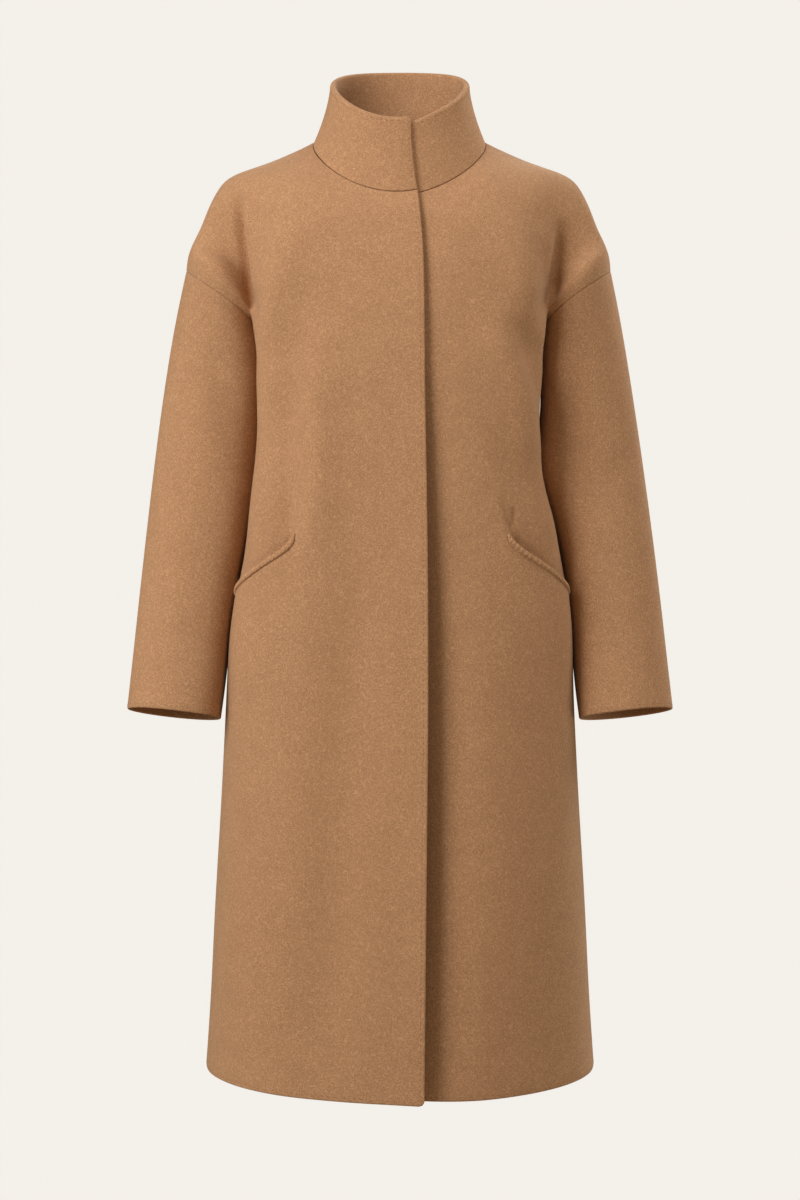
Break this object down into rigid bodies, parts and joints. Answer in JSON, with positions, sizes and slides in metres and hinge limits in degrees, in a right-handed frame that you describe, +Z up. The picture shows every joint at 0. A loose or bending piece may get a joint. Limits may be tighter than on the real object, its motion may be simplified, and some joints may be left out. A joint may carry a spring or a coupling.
{
  "type": "cocoon coat",
  "caption": "Long camel wool cocoon coat with dropped shoulders, stand collar, lapped front, slanted pockets and straight open sleeves, filled out as if worn",
  "frame": {"origin": "Midway between the two shoulders, at the height of the neck points, where the wearer's shoulders hold the coat up", "axes": "+X to the wearer's left, -Y to the front, +Z up; the hem hangs at -Z"},
  "size_m": [0.621, 0.3363, 1.1573],
  "materials": {
    "camel_wool": "felted wool coating with a short matt nap"
  },
  "bodies": {
    "root": {"back": "camel_wool", "front_right": "camel_wool", "front_left": "camel_wool", "sleeve_right": "camel_wool", "sleeve_left": "camel_wool", "collar": "camel_wool", "pocket_edge_right": "camel_wool", "pocket_edge_left": "camel_wool"}
  },
  "joints": []
}
